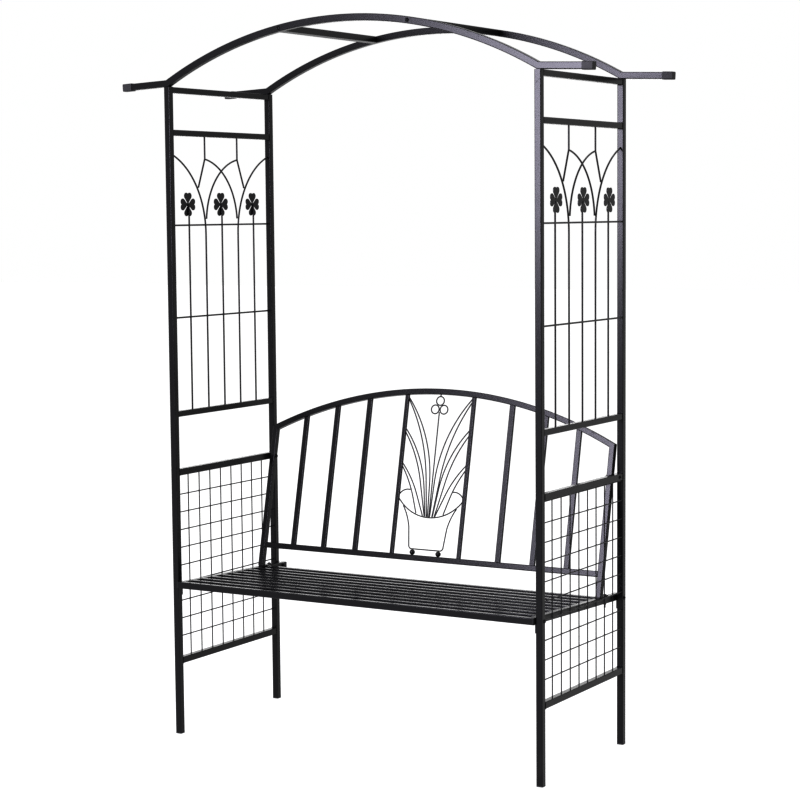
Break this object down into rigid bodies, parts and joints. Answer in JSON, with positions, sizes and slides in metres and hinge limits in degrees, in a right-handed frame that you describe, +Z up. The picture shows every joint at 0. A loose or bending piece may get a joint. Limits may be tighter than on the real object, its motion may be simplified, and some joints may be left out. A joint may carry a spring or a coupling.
{
  "type": "garden arch with bench",
  "caption": "Free-standing metal rose arch with trellis sides, curved top and a built-in slatted bench whose backrest holds a bent-wire potted plant.",
  "frame": {"origin": "on the ground at the middle of the rectangle formed by the four feet, 3 mm in front of the middle of the whole depth", "axes": "+X to the sitter's left along the width, as seen from the front on the right; +Y from the front towards the backrest; +Z up"},
  "size_m": [1.4348, 0.5302, 1.965],
  "materials": {
    "powder_coated_tube": "satin black powder coat",
    "coated_wire": "satin black powder coat over steel wire and sheet",
    "black_plastic": "fine matt moulded plastic",
    "fastener_steel": "blackened steel screws, bolts and nuts"
  },
  "bodies": {
    "root": {"arch_end_caps": "black_plastic", "back_arch": "powder_coated_tube", "back_arch_tails": "powder_coated_tube", "backrest_bolts": "fastener_steel", "backrest_bow": "powder_coated_tube", "backrest_foot_bolts": "fastener_steel", "backrest_lower_rail": "powder_coated_tube", "backrest_pot_slats": "powder_coated_tube", "backrest_slats": "powder_coated_tube", "backrest_spacers": "powder_coated_tube", "foot_caps": "black_plastic", "front_arch": "powder_coated_tube", "front_arch_tails": "powder_coated_tube", "hex_nuts": "fastener_steel", "left_armrest_rail": "powder_coated_tube", "left_back_leg": "powder_coated_tube", "left_back_post": "powder_coated_tube", "left_backrest_side": "powder_coated_tube", "left_bottom_rail": "powder_coated_tube", "left_clovers": "coated_wire", "left_front_leg": "powder_coated_tube", "left_front_post": "powder_coated_tube", "left_mesh": "coated_wire", "left_purlin": "powder_coated_tube", "left_seat_end_rail": "powder_coated_tube", "left_top_rail": "powder_coated_tube", "left_trellis_bottom_rail": "powder_coated_tube", "left_trellis_top_rail": "powder_coated_tube", "left_trellis_wires": "coated_wire", "plant_leaves": "coated_wire", "plant_pot": "coated_wire", "plant_pot_feet": "coated_wire", "plant_stem": "coated_wire", "post_spigots": "powder_coated_tube", "purlin_inserts": "black_plastic", "purlin_screws": "fastener_steel", "right_armrest_rail": "powder_coated_tube", "right_back_leg": "powder_coated_tube", "right_back_post": "powder_coated_tube", "right_backrest_side": "powder_coated_tube", "right_bottom_rail": "powder_coated_tube", "right_clovers": "coated_wire", "right_front_leg": "powder_coated_tube", "right_front_post": "powder_coated_tube", "right_mesh": "coated_wire", "right_purlin": "powder_coated_tube", "right_seat_end_rail": "powder_coated_tube", "right_top_rail": "powder_coated_tube", "right_trellis_bottom_rail": "powder_coated_tube", "right_trellis_top_rail": "powder_coated_tube", "right_trellis_wires": "coated_wire", "seat_bearer": "powder_coated_tube", "seat_bolts": "fastener_steel", "seat_brackets": "powder_coated_tube", "seat_front_rail": "powder_coated_tube", "seat_rear_rail": "powder_coated_tube", "seat_slats": "powder_coated_tube", "seat_tube_plugs": "black_plastic"}
  },
  "joints": []
}
